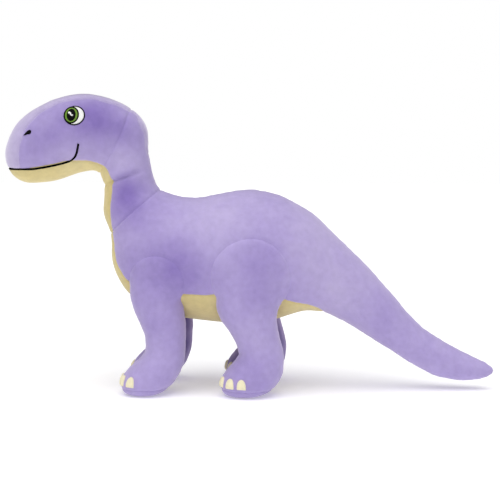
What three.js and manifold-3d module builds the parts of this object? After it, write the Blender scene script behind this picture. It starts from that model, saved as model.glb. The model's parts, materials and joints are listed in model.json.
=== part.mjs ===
// A long-necked stuffed dinosaur, standing on four feet.
//
// Frame (mm): the head looks along -X, the tail points along +X, +Z is up and the feet rest on z = 0.
// The toy's own left side is -Y. The origin is under the middle of its box.
//
// The toy is sewn from short-pile cloth over loose fibre. Each stuffed region is a fibre fill
// with cloth panels round it. Regions that bend against each other meet at a hinge, and the
// wedge that the bend needs is taken out of the region nearer the belly.

import * as THREE from 'three';
import { mergeVertices } from 'three/addons/utils/BufferGeometryUtils.js';
import Module from 'manifold-3d';

const wasm = await Module();
wasm.setup();

// ---------------------------------------------------------------- driving dimensions

const CLOTH = 3;            // pile cloth with its backing and seam allowance
const GAP = 0.3;            // clearance between sewn neighbours
const HINGE_GAP = 0.6;      // clearance left at a bend
const EGG = 0.1;            // how much wider the lower half of a body section is
const BODY_SIDES = 14;      // flats round a body section
const LEG_SIDES = 12;       // flats round a leg section
const FAR = 400;            // further out than any surface of the toy

// Bends to each side of rest, in degrees.
const HEAD_NOD = 12;
const NECK_BEND = 12;
const TAIL_SWING = 15;
const TIP_BEND = 18;
const LEG_SWING = 10;

// Body stations from the nose to the tail tip: the back edge (x, z), the belly edge (x, z), and
// the half width. The two edges and the width run through these as smooth curves.
const STATIONS = [
  [-300, 298, -300, 286, 7],
  [-295, 318, -295, 269, 24],
  [-286, 331, -286, 259, 30],
  [-270, 343, -270, 254, 35],
  [-240, 357, -240, 256, 40],
  [-205, 363, -208, 266, 41],
  [-172, 358, -189, 269, 37],
  [-146, 345, -187, 268, 33],     // seam between the head and the neck
  [-130, 325, -185, 265, 29],
  [-124, 285, -180, 257, 29],
  [-118, 257, -179, 239, 32],
  [-112, 247, -179, 214, 38],
  [-110, 245, -170, 193, 43],     // seam between the neck and the body
  [-84, 235, -169, 155, 57],
  [-60, 235, -150, 117, 64],
  [-37, 240, -105, 90, 69],
  [0, 246, -27, 83, 72],
  [37, 238, 31, 85, 69],
  [76, 214, 68, 97, 57],
  [110, 185, 92, 95, 45],         // where the tail swings from the body
  [142, 153, 119, 82, 37],
  [179, 113, 158, 58, 29.5],
  [195, 94, 176, 46, 26],         // where the tail tip bends
  [212, 76, 195, 34, 24],
  [246, 55, 228, 16, 20],
  [273, 42, 259, 11, 16],
  [292, 33, 287, 14, 10],
  [300, 27, 300, 21, 3.5],
];
const NOSE = 0;
const HEAD_SEAM = 7;
const NECK_SEAM = 12;
const TAIL_BASE = 19;
const TAIL_MIDDLE = 22;
const TIP = STATIONS.length - 1;
const NOSE_END = { cloth: 0.6, fill: 0.7 };     // stations where the cloth and the fill end
const TIP_END = { cloth: 26.6, fill: 26.5 };    // short of the nose and the tail tip

// The seam between the cream underside and the purple sides, from the mouth to the tail, in (x, z).
const CREAM_EDGE = [
  [-310, 272], [-292, 272], [-272, 271], [-241, 276], [-219, 281], [-190, 281], [-174, 273],
  [-165, 257], [-168, 227], [-164, 192], [-159, 159], [-140, 129], [-110, 124], [-12, 123],
  [41, 117], [74, 108], [102, 92],
];

// The seam between the top gusset and the sides, from the lip over the crown to the nape.
const GUSSET_EDGE = [
  [-277, 250], [-278, 293], [-272, 320], [-255, 338], [-231, 351], [-192, 356], [-158, 347],
  [-140, 335], [-131, 315], [-127, 290], [-119, 272], [-104, 262],
];

const MOUTH_LINE = [
  [-310, 272], [-292, 272], [-272, 271], [-241, 276], [-221, 281], [-211, 288], [-206, 302],
];
const MOUTH_WIDTH = 2.4;
const EYE = { x: -211, z: 335, halfLength: 12.6, halfHeight: 11.4 };
const NOSTRIL = [[-271, 313], [-268, 318], [-263, 320], [-261, 316], [-264, 313.5]];
const STITCH_HEIGHT = 1.2;  // how far the embroidery stands off the cloth

// Legs, each with its hip (the centre of the round seam at its top) and its sections, from the
// hip down: height, front edge, back edge and half thickness across the toy.
const FRONT_LEG = {
  name: 'front_leg',
  hip: { x: -109, z: 135, radius: 35, thickness: 27 },
  sections: [
    [118, -143, -75, 28],
    [101, -137, -76, 28],
    [74, -125, -74, 27],
    [51, -123, -75, 26],
    [38, -135, -77, 29],
    [23, -148, -83, 31],
    [11, -150, -92, 30],
    [4, -144, -101, 25],
    [0, -138, -109, 17],
  ],
  hipCentre: 37,
  footCentre: 49,
};
const HIND_LEG = {
  name: 'hind_leg',
  hip: { x: 4, z: 143, radius: 47, thickness: 29 },
  sections: [
    [118, -42, 42, 30],
    [94, -35, 34, 30],
    [74, -19, 38, 28],
    [51, -9, 44, 27],
    [38, -20, 44, 30],
    [23, -29, 41, 32],
    [11, -29, 33, 30],
    [4, -22, 24, 25],
    [0, -13, 13, 17],
  ],
  hipCentre: 48,
  footCentre: 51,
};
const SOLE_SEAM = 9;        // height of the seam between a leg and its sole
const TOE = { width: 12, height: 12, bottom: 13, spread: 25, thickness: 2 };

// Which way the middle toe of each foot faces: degrees outward from straight ahead.
const TOE_TURN = { front_left: 22, front_right: 22, hind_left: 43, hind_right: -30 };

// ---------------------------------------------------------------- cloth colours

function cloth(colour, roughness) {
  return new THREE.MeshStandardMaterial({ color: colour, roughness, metalness: 0 });
}
const PURPLE = cloth(0xa694cf, 0.92);
const CREAM = cloth(0xe6dcae, 0.92);
const FIBRE = cloth(0xf4f3ee, 1.0);
const THREAD = cloth(0x17121f, 0.6);
const EYE_THREAD = cloth(0x6f9a2c, 0.55);

// ---------------------------------------------------------------- solids and meshes

const toy = new THREE.Group();

function solidOf(geometry) {
  geometry.deleteAttribute('normal');
  geometry.deleteAttribute('uv');
  const merged = mergeVertices(geometry);
  return new wasm.Manifold(new wasm.Mesh({
    numProp: 3,
    vertProperties: new Float32Array(merged.attributes.position.array),
    triVerts: new Uint32Array(merged.index.array),
  }));
}

function add(name, solid, material) {
  const { vertProperties, triVerts } = solid.getMesh();
  const geometry = new THREE.BufferGeometry();
  geometry.setAttribute('position', new THREE.BufferAttribute(vertProperties, 3));
  geometry.setIndex(new THREE.BufferAttribute(triVerts, 1));
  geometry.computeVertexNormals();
  const mesh = new THREE.Mesh(geometry, material);
  mesh.name = name;
  toy.add(mesh);
}

// Skins a list of rings of equal length, and closes both ends with a fan.
function skin(rings) {
  const sides = rings[0].length;
  const points = rings.flat();
  const triangles = [];
  for (let ring = 0; ring < rings.length - 1; ring++) {
    for (let side = 0; side < sides; side++) {
      const next = (side + 1) % sides;
      const a = ring * sides + side;
      const b = ring * sides + next;
      triangles.push(a, a + sides, b, b, a + sides, b + sides);
    }
  }
  for (const [ring, facing] of [[0, 1], [rings.length - 1, -1]]) {
    const middle = rings[ring].reduce((sum, p) => sum.add(p), new THREE.Vector3());
    points.push(middle.divideScalar(sides));
    for (let side = 0; side < sides; side++) {
      const a = ring * sides + side;
      const b = ring * sides + (side + 1) % sides;
      triangles.push(...(facing > 0 ? [points.length - 1, a, b] : [points.length - 1, b, a]));
    }
  }
  const geometry = new THREE.BufferGeometry().setFromPoints(points);
  geometry.setIndex(triangles);
  return solidOf(geometry);
}

// A flat outline in (x, z), extruded across the toy from y = near to y = far.
function across(outline, near, far) {
  const shape = new THREE.Shape(outline.map(([x, z]) => new THREE.Vector2(x, z)));
  const geometry = new THREE.ExtrudeGeometry(shape, { depth: far - near, bevelEnabled: false });
  geometry.rotateX(Math.PI / 2);
  geometry.translate(0, far, 0);
  return solidOf(geometry);
}

function box(low, high) {
  const geometry = new THREE.BoxGeometry(high[0] - low[0], high[1] - low[1], high[2] - low[2]);
  geometry.translate((high[0] + low[0]) / 2, (high[1] + low[1]) / 2, (high[2] + low[2]) / 2);
  return solidOf(geometry);
}

// A band of even width along an open line in (x, z), extruded right across the toy.
function band(line, width) {
  const left = [];
  const right = [];
  line.forEach(([x, z], i) => {
    const before = line[Math.max(i - 1, 0)];
    const after = line[Math.min(i + 1, line.length - 1)];
    const along = new THREE.Vector2(after[0] - before[0], after[1] - before[1]).normalize();
    left.push([x - along.y * width / 2, z + along.x * width / 2]);
    right.push([x + along.y * width / 2, z - along.x * width / 2]);
  });
  return across([...left, ...right.reverse()], -FAR, FAR);
}

// ---------------------------------------------------------------- body sections

const backCurve = new THREE.CatmullRomCurve3(
  STATIONS.map(([x, z]) => new THREE.Vector3(x, 0, z)), false, 'catmullrom');
const bellyCurve = new THREE.CatmullRomCurve3(
  STATIONS.map(([, , x, z, half]) => new THREE.Vector3(x, half, z)), false, 'catmullrom');

// The section at a station, which may lie between two of the list: its edges and half width.
function section(station) {
  const back = backCurve.getPoint(station / TIP);
  const belly = bellyCurve.getPoint(station / TIP);
  const half = belly.y;
  belly.y = 0;
  return { back, belly, half };
}

// Every surface has its rings at the same stations, so that nested surfaces stay apart.
const RING_STATIONS = [...STATIONS.keys(), ...Object.values(NOSE_END), ...Object.values(TIP_END)];
RING_STATIONS.sort((a, b) => a - b);

// The body between two stations, swollen by `offset` (shrunk when it is negative).
function body(from, to, offset = 0) {
  const between = RING_STATIONS.filter((station) => station > from && station < to);
  const rings = [];
  for (const station of [from, ...between, to]) {
    const { back, belly, half } = section(station);
    const middle = back.clone().add(belly).divideScalar(2);
    const reach = back.clone().sub(middle);
    reach.setLength(reach.length() + offset);
    const ring = [];
    for (let side = 0; side < BODY_SIDES; side++) {
      const turn = side * 2 * Math.PI / BODY_SIDES;
      const point = middle.clone().addScaledVector(reach, Math.cos(turn));
      point.y = (half + offset) * Math.sin(turn) * (1 - EGG * Math.cos(turn));
      ring.push(point);
    }
    rings.push(ring);
  }
  return skin(rings);
}

// The hinge across a station: its middle, its direction from belly to back, and the normal
// towards the nose.
function hingeAt(station) {
  const { back, belly } = section(station);
  const up = back.clone().sub(belly).normalize();
  const noseward = new THREE.Vector3(-up.z, 0, up.x);
  return { middle: back.add(belly).divideScalar(2), up, noseward };
}

// The space that a region keeps when its neighbour turns by `degrees` to each side about `axis`:
// everything beyond a blunt wedge whose edge lies just past the hinge.
function keepBeyond(hinge, axis, towards, degrees) {
  const bend = THREE.MathUtils.degToRad(degrees);
  const edge = new THREE.Vector2(HINGE_GAP, 0);
  const reach = new THREE.Vector2(Math.sin(bend), Math.cos(bend)).multiplyScalar(FAR);
  const shape = new THREE.Shape([
    edge,
    new THREE.Vector2(edge.x + reach.x, -reach.y),
    new THREE.Vector2(edge.x + 2 * FAR, -reach.y),
    new THREE.Vector2(edge.x + 2 * FAR, reach.y),
    new THREE.Vector2(edge.x + reach.x, reach.y),
  ]);
  const geometry = new THREE.ExtrudeGeometry(shape, { depth: 2 * FAR, bevelEnabled: false });
  geometry.translate(0, 0, -FAR);
  const sideways = new THREE.Vector3().crossVectors(axis, towards);
  const frame = new THREE.Matrix4().makeBasis(towards, sideways, axis);
  frame.setPosition(hinge.middle);
  geometry.applyMatrix4(frame);
  return solidOf(geometry);
}

const Y_AXIS = new THREE.Vector3(0, 1, 0);
const headHinge = hingeAt(HEAD_SEAM);
const neckHinge = hingeAt(NECK_SEAM);
const tailHinge = hingeAt(TAIL_BASE);
const tipHinge = hingeAt(TAIL_MIDDLE);

const neckRoom = keepBeyond(headHinge, Y_AXIS, headHinge.noseward.clone().negate(), HEAD_NOD);
const chestRoom = keepBeyond(neckHinge, Y_AXIS, neckHinge.noseward.clone().negate(), NECK_BEND);
const rumpRoom = keepBeyond(tailHinge, tailHinge.up, tailHinge.noseward, TAIL_SWING);
const tailRoom = keepBeyond(tipHinge, Y_AXIS, tipHinge.noseward, TIP_BEND);

// ---------------------------------------------------------------- legs

// One leg, built upright with its middle on y = 0, then leant and moved to its side.
function legRings(leg, offset) {
  const { hip, sections } = leg;
  const heights = [];
  for (const angle of [78, 55, 30, 0]) {
    const turn = THREE.MathUtils.degToRad(angle);
    const halfLength = hip.radius * Math.cos(turn);
    const half = hip.thickness * Math.sqrt(Math.cos(turn));
    const height = hip.z + hip.radius * Math.sin(turn);
    heights.push([height, hip.x - halfLength, hip.x + halfLength, half]);
  }
  return [...heights, ...sections].map(([z, front, back, half]) => ({
    z,
    middle: (front + back) / 2,
    halfLength: (back - front) / 2 + offset,
    half: half + offset,
  }));
}

// The leg between two heights, swollen by `offset`, with flat ends.
function legSolid(leg, bottom, top, offset = 0) {
  const known = legRings(leg, offset);
  const low = Math.max(bottom, known.at(-1).z);
  const high = Math.min(top, known[0].z);
  const at = (z) => {
    const below = Math.max(1, known.findIndex((ring) => ring.z <= z));
    const [a, b] = [known[below - 1], known[below]];
    const part = (z - b.z) / (a.z - b.z);
    const mix = (key) => THREE.MathUtils.lerp(b[key], a[key], part);
    return { z, middle: mix('middle'), halfLength: mix('halfLength'), half: mix('half') };
  };
  const inside = known.filter((ring) => ring.z > low + 0.2 && ring.z < high - 0.2);
  return skin([at(high), ...inside, at(low)].map((ring) => {
    const points = [];
    for (let side = 0; side < LEG_SIDES; side++) {
      const turn = side * 2 * Math.PI / LEG_SIDES;
      const x = ring.middle + ring.halfLength * Math.cos(turn);
      points.push(new THREE.Vector3(x, ring.half * Math.sin(turn), ring.z));
    }
    return points;
  }));
}

// Carries a leg's solid from its own upright frame to its side: +Y is outward in that frame.
function toSide(solid, leg, side) {
  const lean = (leg.hipCentre - leg.footCentre) / leg.hip.z;
  const placed = solid.transform([
    1, 0, 0, 0,
    0, 1, 0, 0,
    0, lean, 1, 0,
    0, leg.footCentre, 0, 1,
  ]);
  return side === 'right' ? placed : placed.mirror([0, 1, 0]);
}

// The pocket that a swinging leg needs in the body, from its inner face outward.
function legPocket(leg, side) {
  const rings = legRings(leg, HINGE_GAP);
  const front = rings.map((ring) => [ring.middle - ring.halfLength, ring.z]);
  const back = rings.map((ring) => [ring.middle + ring.halfLength, ring.z]);
  const inner = leg.hipCentre - leg.hip.thickness - 2 * HINGE_GAP;
  const crown = [];
  for (let angle = 0; angle < 360; angle += 15) {
    const turn = THREE.MathUtils.degToRad(angle);
    const radius = leg.hip.radius + 2 * HINGE_GAP;
    crown.push([leg.hip.x + radius * Math.cos(turn), leg.hip.z + radius * Math.sin(turn)]);
  }
  let pocket = across(crown, inner, FAR);
  const column = across([...front, ...back.reverse()], inner, FAR);
  for (let angle = -LEG_SWING; angle <= LEG_SWING; angle += LEG_SWING / 4) {
    const swung = column.translate([-leg.hip.x, 0, -leg.hip.z]).rotate([0, angle, 0]);
    pocket = pocket.add(swung.translate([leg.hip.x, 0, leg.hip.z]));
  }
  return side === 'right' ? pocket : pocket.mirror([0, 1, 0]);
}

// A toe's outline, flat below and round above, carried outward through the front of the foot.
function toe(leg, angle) {
  const outline = new THREE.Shape();
  const radius = TOE.width / 2;
  outline.moveTo(-radius, 0);
  outline.lineTo(radius, 0);
  outline.lineTo(radius, TOE.height - radius);
  outline.absarc(0, TOE.height - radius, radius, 0, Math.PI);
  const prism = new THREE.ExtrudeGeometry(outline, { depth: FAR, bevelEnabled: false, curveSegments: 5 });
  prism.rotateX(Math.PI / 2);
  prism.rotateZ(THREE.MathUtils.degToRad(-90 - angle));
  const foot = legRings(leg, 0).find((ring) => ring.z < TOE.bottom + TOE.height);
  prism.translate(foot.middle, 0, TOE.bottom);
  const outer = legSolid(leg, 0, leg.hip.z, TOE.thickness + GAP);
  const inner = legSolid(leg, 0, leg.hip.z + 1, GAP);
  return solidOf(prism).intersect(outer).subtract(inner);
}

function addLeg(leg, side) {
  const name = leg.name.replace('_', `_${side}_`);
  const top = leg.hip.z + leg.hip.radius;
  const outerHalf = box([-FAR, GAP / 2, -FAR], [FAR, FAR, FAR]);
  const innerHalf = box([-FAR, -FAR, -FAR], [FAR, -GAP / 2, FAR]);
  const hollow = legSolid(leg, CLOTH, top - CLOTH, -CLOTH);
  const cover = legSolid(leg, SOLE_SEAM + GAP, top).subtract(hollow);
  const sole = legSolid(leg, 0, SOLE_SEAM).subtract(hollow);
  const fill = legSolid(leg, CLOTH + GAP, top - CLOTH - GAP, -CLOTH - GAP);
  const turn = TOE_TURN[leg.name.replace('leg', side)];

  add(`${name}_fill`, toSide(fill, leg, side), FIBRE);
  add(`${name}_outer_panel`, toSide(cover.intersect(outerHalf), leg, side), PURPLE);
  add(`${name}_inner_panel`, toSide(cover.intersect(innerHalf), leg, side), PURPLE);
  add(`${name}_sole`, toSide(sole, leg, side), PURPLE);
  [-1, 0, 1].forEach((place, index) => {
    const piece = toe(leg, turn + place * TOE.spread);
    add(`${name}_toe_${index + 1}`, toSide(piece, leg, side), CREAM);
  });
}

// ---------------------------------------------------------------- cloth panels and fills

const creamSide = across([...CREAM_EDGE, [102, 0], [-FAR, 0], [-FAR, 272]], -FAR, FAR);
const gussetSide = across([...GUSSET_EDGE, [FAR, FAR], [-FAR, FAR], [-FAR, 250]], -FAR, FAR);
const creamSeam = band(CREAM_EDGE, GAP);
const gussetSeam = band(GUSSET_EDGE, GAP);
const leftHalf = box([-FAR, -FAR, -FAR], [FAR, -GAP / 2, FAR]);
const rightHalf = box([-FAR, GAP / 2, -FAR], [FAR, FAR, FAR]);

// The cloth between two stations: the body's outer surface less its inside.
function clothBetween(from, to) {
  const innerFrom = from === NOSE ? NOSE_END.cloth : from - 0.3;
  const innerTo = to === TIP ? TIP_END.cloth : to + 0.3;
  return body(from, to).subtract(body(innerFrom, innerTo, -CLOTH));
}

function addSides(names, solid) {
  add(names[0], solid.intersect(leftHalf), PURPLE);
  add(names[1], solid.intersect(rightHalf), PURPLE);
}

function addHead() {
  const shell = clothBetween(NOSE, HEAD_SEAM).subtract(creamSeam);
  const above = shell.subtract(creamSide).subtract(gussetSeam);
  add('head_fill', body(NOSE_END.fill, HEAD_SEAM, -CLOTH - GAP), FIBRE);
  addSides(['head_left_panel', 'head_right_panel'], above.subtract(gussetSide));
  add('crown_gusset', above.intersect(gussetSide), PURPLE);
  add('chin_panel', shell.intersect(creamSide), CREAM);
}

// Embroidery lies on the cloth: an outline across the toy, kept where it meets the surface.
function embroider(name, outline, material) {
  const proud = body(NOSE, HEAD_SEAM, GAP + STITCH_HEIGHT).subtract(body(NOSE, HEAD_SEAM, GAP));
  add(name, proud.intersect(outline), material);
}

function addFace() {
  const eye = new THREE.CylinderGeometry(1, 1, 2 * FAR, 20);
  eye.scale(EYE.halfLength, 1, EYE.halfHeight);
  eye.translate(EYE.x, 0, EYE.z);
  const eyes = solidOf(eye);
  const nostrils = across(NOSTRIL, -FAR, FAR);
  embroider('eye_left', eyes.intersect(leftHalf), EYE_THREAD);
  embroider('eye_right', eyes.intersect(rightHalf), EYE_THREAD);
  embroider('nostril_left', nostrils.intersect(leftHalf), THREAD);
  embroider('nostril_right', nostrils.intersect(rightHalf), THREAD);
  embroider('mouth_stitch', band(MOUTH_LINE, MOUTH_WIDTH), THREAD);
}

function addNeck() {
  const shell = clothBetween(HEAD_SEAM, NECK_SEAM).intersect(neckRoom).subtract(creamSeam);
  const behind = shell.subtract(creamSide).subtract(gussetSeam);
  const fill = body(HEAD_SEAM, NECK_SEAM, -CLOTH - GAP).intersect(neckRoom);
  add('neck_fill', fill, FIBRE);
  addSides(['neck_left_panel', 'neck_right_panel'], behind.subtract(gussetSide));
  add('nape_gusset', behind.intersect(gussetSide), PURPLE);
  add('throat_panel', shell.intersect(creamSide), CREAM);
}

function addTorso(pockets) {
  const room = chestRoom.intersect(rumpRoom).subtract(pockets);
  const shell = clothBetween(NECK_SEAM, TAIL_BASE).intersect(room).subtract(creamSeam);
  const fill = body(NECK_SEAM, TAIL_BASE, -CLOTH - GAP).intersect(room);
  add('torso_fill', fill, FIBRE);
  addSides(['body_left_panel', 'body_right_panel'], shell.subtract(creamSide));
  add('belly_panel', shell.intersect(creamSide), CREAM);
}

function addTail() {
  const base = clothBetween(TAIL_BASE, TAIL_MIDDLE).intersect(tailRoom);
  const baseFill = body(TAIL_BASE, TAIL_MIDDLE, -CLOTH - GAP).intersect(tailRoom);
  add('tail_base_fill', baseFill, FIBRE);
  addSides(['tail_base_left_panel', 'tail_base_right_panel'], base);
  const tip = clothBetween(TAIL_MIDDLE, TIP);
  add('tail_tip_fill', body(TAIL_MIDDLE, TIP_END.fill, -CLOTH - GAP), FIBRE);
  addSides(['tail_tip_left_panel', 'tail_tip_right_panel'], tip);
}

// ---------------------------------------------------------------- the toy

const LEGS = [[FRONT_LEG, 'left'], [FRONT_LEG, 'right'], [HIND_LEG, 'left'], [HIND_LEG, 'right']];
const pockets = LEGS.map(([leg, side]) => legPocket(leg, side)).reduce((all, one) => all.add(one));

addHead();
addFace();
addNeck();
addTorso(pockets);
addTail();
LEGS.forEach(([leg, side]) => addLeg(leg, side));

export default toy;
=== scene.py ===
"""A stuffed long-necked dinosaur in purple and cream pile cloth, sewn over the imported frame.

The frame gives rigid, faceted solids. Here each run of them is measured section by section and
turned into one smooth stuffed skin, which is swollen by a cloth simulation, cut into its sewn
panels along the frame's own seams, and given seams, puckers, pile and embroidery.
"""
import json
import math

import bmesh
import bpy
import numpy as np
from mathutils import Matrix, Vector, noise
from mathutils.bvhtree import BVHTree
from mathutils.kdtree import KDTree

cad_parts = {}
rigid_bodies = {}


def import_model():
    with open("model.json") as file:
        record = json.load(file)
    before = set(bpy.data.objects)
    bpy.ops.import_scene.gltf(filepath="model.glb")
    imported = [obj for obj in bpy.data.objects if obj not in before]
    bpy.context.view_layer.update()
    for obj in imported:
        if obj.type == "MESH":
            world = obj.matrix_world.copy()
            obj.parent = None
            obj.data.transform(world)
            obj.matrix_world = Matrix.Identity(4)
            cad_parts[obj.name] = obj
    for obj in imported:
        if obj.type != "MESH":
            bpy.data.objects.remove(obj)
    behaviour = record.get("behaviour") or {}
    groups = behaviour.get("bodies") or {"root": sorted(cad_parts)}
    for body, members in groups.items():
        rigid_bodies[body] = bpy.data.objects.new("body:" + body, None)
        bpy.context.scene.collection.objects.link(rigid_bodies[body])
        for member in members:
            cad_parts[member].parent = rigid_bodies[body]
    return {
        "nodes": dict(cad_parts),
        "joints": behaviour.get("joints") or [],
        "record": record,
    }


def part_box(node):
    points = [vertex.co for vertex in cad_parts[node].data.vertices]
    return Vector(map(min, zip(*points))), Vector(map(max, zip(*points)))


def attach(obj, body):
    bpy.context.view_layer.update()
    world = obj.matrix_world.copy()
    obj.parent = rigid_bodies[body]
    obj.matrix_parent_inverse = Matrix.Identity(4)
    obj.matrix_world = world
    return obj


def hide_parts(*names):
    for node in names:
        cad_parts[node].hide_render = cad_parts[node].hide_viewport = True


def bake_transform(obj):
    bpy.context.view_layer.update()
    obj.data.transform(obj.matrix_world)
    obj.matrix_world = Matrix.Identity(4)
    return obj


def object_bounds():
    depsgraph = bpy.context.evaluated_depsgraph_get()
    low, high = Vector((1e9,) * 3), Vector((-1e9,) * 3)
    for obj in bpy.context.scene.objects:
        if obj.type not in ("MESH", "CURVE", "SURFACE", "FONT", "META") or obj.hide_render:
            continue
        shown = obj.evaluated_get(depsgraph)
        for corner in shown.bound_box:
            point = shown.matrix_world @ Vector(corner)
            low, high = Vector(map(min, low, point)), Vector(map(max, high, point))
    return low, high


for leftover in list(bpy.data.objects):
    bpy.data.objects.remove(leftover)
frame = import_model()
low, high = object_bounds()

BODIES = frame["record"]["behaviour"]["bodies"]
JOINTS = {joint["name"]: joint for joint in frame["joints"]}
TRUNK = ("head", "neck", "torso", "tail_base", "tail_tip")
LEGS = ("front_left_leg", "front_right_leg", "hind_left_leg", "hind_right_leg")
UP = Vector((0, 0, 1))
ACROSS = Vector((0, 1, 0))
BACK = Vector((1, 0, 0))  # from the nose to the tail


# ---- reading the frame

def cloth_nodes(body):
    """The frame's cloth panels of a body, without its filling, embroidery and toes."""
    return [n for n in BODIES[body] if n.endswith(("panel", "gusset", "sole"))]


def surface_of(names):
    """One search tree over the faces of these frame nodes."""
    points, faces = [], []
    for name in names:
        mesh = frame["nodes"][name].data
        base = len(points)
        points.extend(v.co.copy() for v in mesh.vertices)
        faces.extend([base + i for i in polygon.vertices] for polygon in mesh.polygons)
    return BVHTree.FromPolygons(points, faces)


def first_exit(tree, origin, direction, reach):
    """How far a ray from inside travels before it leaves the cloth, or nan if it never does."""
    start, travelled = Vector(origin), 0.0
    while travelled < reach:
        point, normal, _, distance = tree.ray_cast(start, direction, reach - travelled)
        if point is None:
            return math.nan
        travelled += distance
        if normal.dot(direction) > 0:
            return travelled
        start = point + direction * 1e-5
        travelled += 1e-5
    return math.nan


def middle(name):
    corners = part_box(name)
    return (corners[0] + corners[1]) / 2


# ---- mesh helpers

def vertex_rows(obj, name):
    flat = np.empty(len(obj.data.vertices) * 3)
    obj.data.vertices.foreach_get(name, flat)
    return flat.reshape(-1, 3)


def points_of(obj):
    return vertex_rows(obj, "co")


def normals_of(obj):
    return vertex_rows(obj, "normal")


def move_points(obj, points):
    obj.data.vertices.foreach_set("co", points.ravel())
    obj.data.update()


def tree_of(obj):
    mesh = obj.data
    return BVHTree.FromPolygons([v.co for v in mesh.vertices], [p.vertices for p in mesh.polygons])


def object_from(name, vertices, faces):
    mesh = bpy.data.meshes.new(name)
    mesh.from_pydata([tuple(v) for v in vertices], [], faces)
    mesh.update()
    mesh.shade_smooth()
    made = bpy.data.objects.new(name, mesh)
    bpy.context.scene.collection.objects.link(made)
    return made


def ring_faces(rows, sides):
    """Quads between rings of points that follow each other."""
    faces = []
    for row in range(rows - 1):
        for side in range(sides):
            a, b = row * sides + side, row * sides + (side + 1) % sides
            faces.append((a, b, b + sides, a + sides))
    return faces


def bake(obj):
    """Applies the modifiers of an object to its mesh."""
    evaluated = obj.evaluated_get(bpy.context.evaluated_depsgraph_get())
    mesh = bpy.data.meshes.new_from_object(evaluated)
    obj.modifiers.clear()
    obj.data = mesh


def spread(obj, values, passes):
    """Averages the value at each vertex with those of the vertices beside it, again and again."""
    ends = np.empty(len(obj.data.edges) * 2, int)
    obj.data.edges.foreach_get("vertices", ends)
    ends = ends.reshape(-1, 2)
    count = np.bincount(ends.ravel(), minlength=len(values))
    for _ in range(passes):
        beside = np.bincount(ends[:, 0], values[ends[:, 1]], len(values))
        beside += np.bincount(ends[:, 1], values[ends[:, 0]], len(values))
        values = (values + beside / count) / 2
    return values


def rough(points, size, seed=0):
    """Smooth noise from -1 to 1 at each point, with features of this size."""
    shift = Vector((7.3, 3.1, 5.7)) * seed
    return np.array([noise.noise(Vector(p) / size + shift) for p in points])


# ---- smooth sections

RAY_STEP = 3  # degrees between the rays of a section
SPINE_STEP = 0.004  # between sections
REACH = 0.11  # longer than any radius of the toy
HARMONICS = 5  # round a section: enough for an egg, too few for a facet
TIP_INSET = 0.0005  # from the frame's ends to the ends of the spine
TIP_RISE = 0.010  # of the spine's ends over the chin's top and the tail tip's bottom
CENTRING_ROUNDS = 6
CENTRING_STEP = 0.4  # share of the way to the middle that each round moves the spine
STRAY_FAR, STRAY_NEAR = 1.9, 0.4  # radii past these shares of the typical one are left out
CARRIED_WEIGHT = 0.3  # of a radius carried on from its neighbours
TRUNK_SIDES = 120
LEG_SIDES = 72
LEG_LEVELS = 54


def resample(points, step):
    """Points along a polyline at even steps, with both of its ends."""
    lengths = np.linalg.norm(np.diff(points, axis=0), axis=1)
    along = np.concatenate([[0], np.cumsum(lengths)])
    count = max(2, int(round(along[-1] / step)) + 1)
    at = np.linspace(0, along[-1], count)
    return np.column_stack([np.interp(at, along, points[:, i]) for i in range(points.shape[1])])


def soften(values, passes):
    """Smooths rows along their first axis, holding both ends still."""
    values = values.copy()
    for _ in range(passes):
        values[1:-1] = (values[:-2] + 2 * values[1:-1] + values[2:]) / 4
    return values


def section_normals(spine, passes=0):
    """Each section's upward direction, in the toy's middle plane.

    The more passes, the more the turn of a bend is shared out, so that sections don't cross.
    """
    along = soften(np.gradient(spine, axis=0), passes)
    along /= np.linalg.norm(along, axis=1)[:, None]
    return np.column_stack([-along[:, 2], np.zeros(len(spine)), along[:, 0]])


def trunk_spine(tree):
    """A line through the middle of the toy, from the nose to the tail tip."""
    chin_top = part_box("chin_panel")[1].z
    tip_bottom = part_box("tail_tip_fill")[0].z
    chain = ["head_nod", "neck_bend", "tail_swing", "tail_tip_bend"]
    hinges = [Vector(JOINTS[name]["pos_m"]) for name in chain]
    start = Vector((low.x + TIP_INSET, 0, chin_top + TIP_RISE))
    end = Vector((high.x - TIP_INSET, 0, tip_bottom + TIP_RISE))
    stations = [start, middle("head_fill"), *hinges[:2], middle("torso_fill"), *hinges[2:], end]
    spine = soften(resample(np.array(stations), SPINE_STEP), 60)
    for _ in range(CENTRING_ROUNDS):
        spine = resample(spine, SPINE_STEP)
        normals = section_normals(spine)
        for i in range(2, len(spine) - 2):
            up = Vector(normals[i])
            beside_seam = Vector(spine[i]) + ACROSS * 0.002
            above = first_exit(tree, beside_seam, up, REACH)
            below = first_exit(tree, beside_seam, -up, REACH)
            if not math.isnan(above + below):
                spine[i] += normals[i] * (above - below) * CENTRING_STEP
        spine = soften(spine, 25)
    return spine


def waves(angles, mirrored):
    """A column for each harmonic: cosines, and sines too where the two sides differ."""
    columns = [np.ones(len(angles))]
    for n in range(1, HARMONICS + 1):
        columns.append(np.cos(n * angles))
        if not mirrored:
            columns.append(np.sin(n * angles))
    return np.column_stack(columns)


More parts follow.
